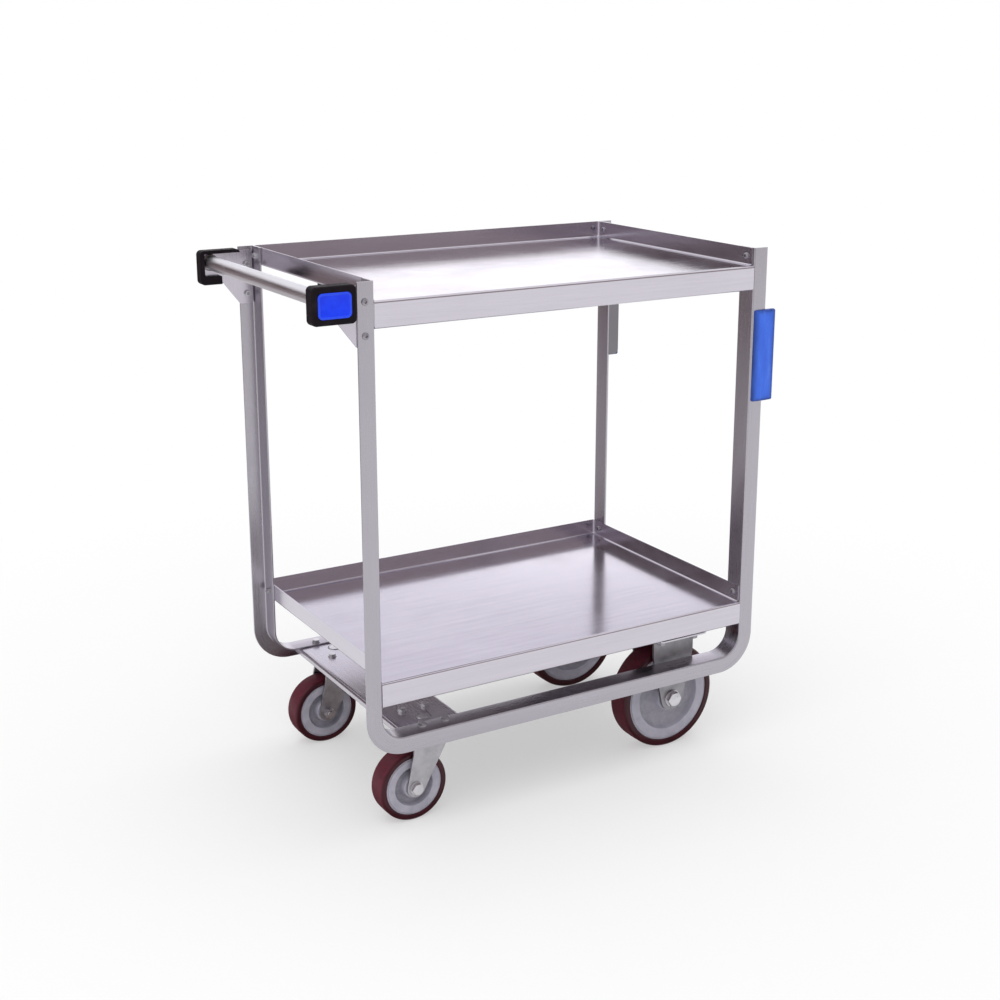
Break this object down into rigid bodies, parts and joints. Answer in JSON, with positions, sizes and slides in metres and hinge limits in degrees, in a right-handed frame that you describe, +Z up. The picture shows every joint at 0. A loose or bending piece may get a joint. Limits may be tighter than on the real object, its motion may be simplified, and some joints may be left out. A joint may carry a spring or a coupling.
{
  "type": "utility cart",
  "caption": "Steel utility cart with folded tray shelves bolted between bent-angle side frames, a tube push handle, bumpers, swivel casters and larger rigid wheels.",
  "frame": {"origin": "centre of the overall box on the floor that the wheels stand on", "axes": "+X from the push handle towards the rigid wheels, +Y to the far side, +Z up"},
  "size_m": [0.9, 0.5, 0.946],
  "materials": {
    "stainless_steel": "brushed",
    "bolster_steel": "brushed",
    "plated_steel": "satin zinc plate",
    "fastener_steel": "satin zinc plate",
    "bearing_steel": "ground",
    "bumper_rubber": "moulded matt",
    "bumper_plate": "moulded satin",
    "leg_bumper_vinyl": "moulded matt",
    "wheel_core": "moulded satin",
    "wheel_tread": "moulded satin"
  },
  "bodies": {
    "frame": {"u_frame_near": "stainless_steel", "u_frame_far": "stainless_steel", "handle_bracket_near": "stainless_steel", "handle_bracket_far": "stainless_steel", "top_shelf": "stainless_steel", "lower_shelf": "stainless_steel", "top_shelf_stiffener": "stainless_steel", "lower_shelf_stiffener": "stainless_steel", "push_handle": "stainless_steel", "leg_bumper_backings": "stainless_steel", "caster_bolster": "bolster_steel", "wheel_bolster": "bolster_steel", "caster_plate_near": "plated_steel", "caster_plate_far": "plated_steel", "wheel_fork_near": "plated_steel", "wheel_fork_far": "plated_steel", "kingpin_near": "fastener_steel", "kingpin_far": "fastener_steel", "shelf_bolts": "fastener_steel", "shelf_nuts": "fastener_steel", "handle_bolts": "fastener_steel", "handle_nuts": "fastener_steel", "leg_bumper_screws": "fastener_steel", "kingpin_nuts": "fastener_steel", "caster_bolts": "fastener_steel", "caster_nuts": "fastener_steel", "fork_bolts": "fastener_steel", "fork_nuts": "fastener_steel", "wheel_axles": "fastener_steel", "wheel_axle_nuts": "fastener_steel", "wheel_bush_near": "bearing_steel", "wheel_bush_far": "bearing_steel", "handle_bumper_near": "bumper_rubber", "handle_bumper_far": "bumper_rubber", "bumper_face_near": "bumper_plate", "bumper_face_far": "bumper_plate", "leg_bumper_near": "leg_bumper_vinyl", "leg_bumper_far": "leg_bumper_vinyl"},
    "caster_near": {"caster_fork_near": "plated_steel", "swivel_bearing_near": "bearing_steel", "caster_axle_near": "fastener_steel", "caster_axle_nut_near": "fastener_steel", "caster_bush_near": "bearing_steel"},
    "caster_wheel_near": {"caster_bearing_near": "bearing_steel", "caster_core_near": "wheel_core", "caster_tread_near": "wheel_tread"},
    "rigid_wheel_near": {"wheel_bearing_near": "bearing_steel", "wheel_core_near": "wheel_core", "wheel_tread_near": "wheel_tread"},
    "caster_far": {"caster_fork_far": "plated_steel", "swivel_bearing_far": "bearing_steel", "caster_axle_far": "fastener_steel", "caster_axle_nut_far": "fastener_steel", "caster_bush_far": "bearing_steel"},
    "caster_wheel_far": {"caster_bearing_far": "bearing_steel", "caster_core_far": "wheel_core", "caster_tread_far": "wheel_tread"},
    "rigid_wheel_far": {"wheel_bearing_far": "bearing_steel", "wheel_core_far": "wheel_core", "wheel_tread_far": "wheel_tread"}
  },
  "joints": [
    {"name": "caster_swivel_near", "type": "hinge", "parent": "frame", "child": "caster_near", "pos_m": [-0.237, -0.18, 0.15], "axis": [0, 0, 1], "continuous": true},
    {"name": "caster_roll_near", "type": "hinge", "parent": "caster_near", "child": "caster_wheel_near", "pos_m": [-0.267, -0.18, 0.0635], "axis": [0, 1, 0], "continuous": true},
    {"name": "wheel_roll_near", "type": "hinge", "parent": "frame", "child": "rigid_wheel_near", "pos_m": [0.282, -0.163, 0.1016], "axis": [0, 1, 0], "continuous": true},
    {"name": "caster_swivel_far", "type": "hinge", "parent": "frame", "child": "caster_far", "pos_m": [-0.237, 0.18, 0.15], "axis": [0, 0, 1], "continuous": true},
    {"name": "caster_roll_far", "type": "hinge", "parent": "caster_far", "child": "caster_wheel_far", "pos_m": [-0.267, 0.18, 0.0635], "axis": [0, 1, 0], "continuous": true},
    {"name": "wheel_roll_far", "type": "hinge", "parent": "frame", "child": "rigid_wheel_far", "pos_m": [0.282, 0.163, 0.1016], "axis": [0, 1, 0], "continuous": true}
  ]
}
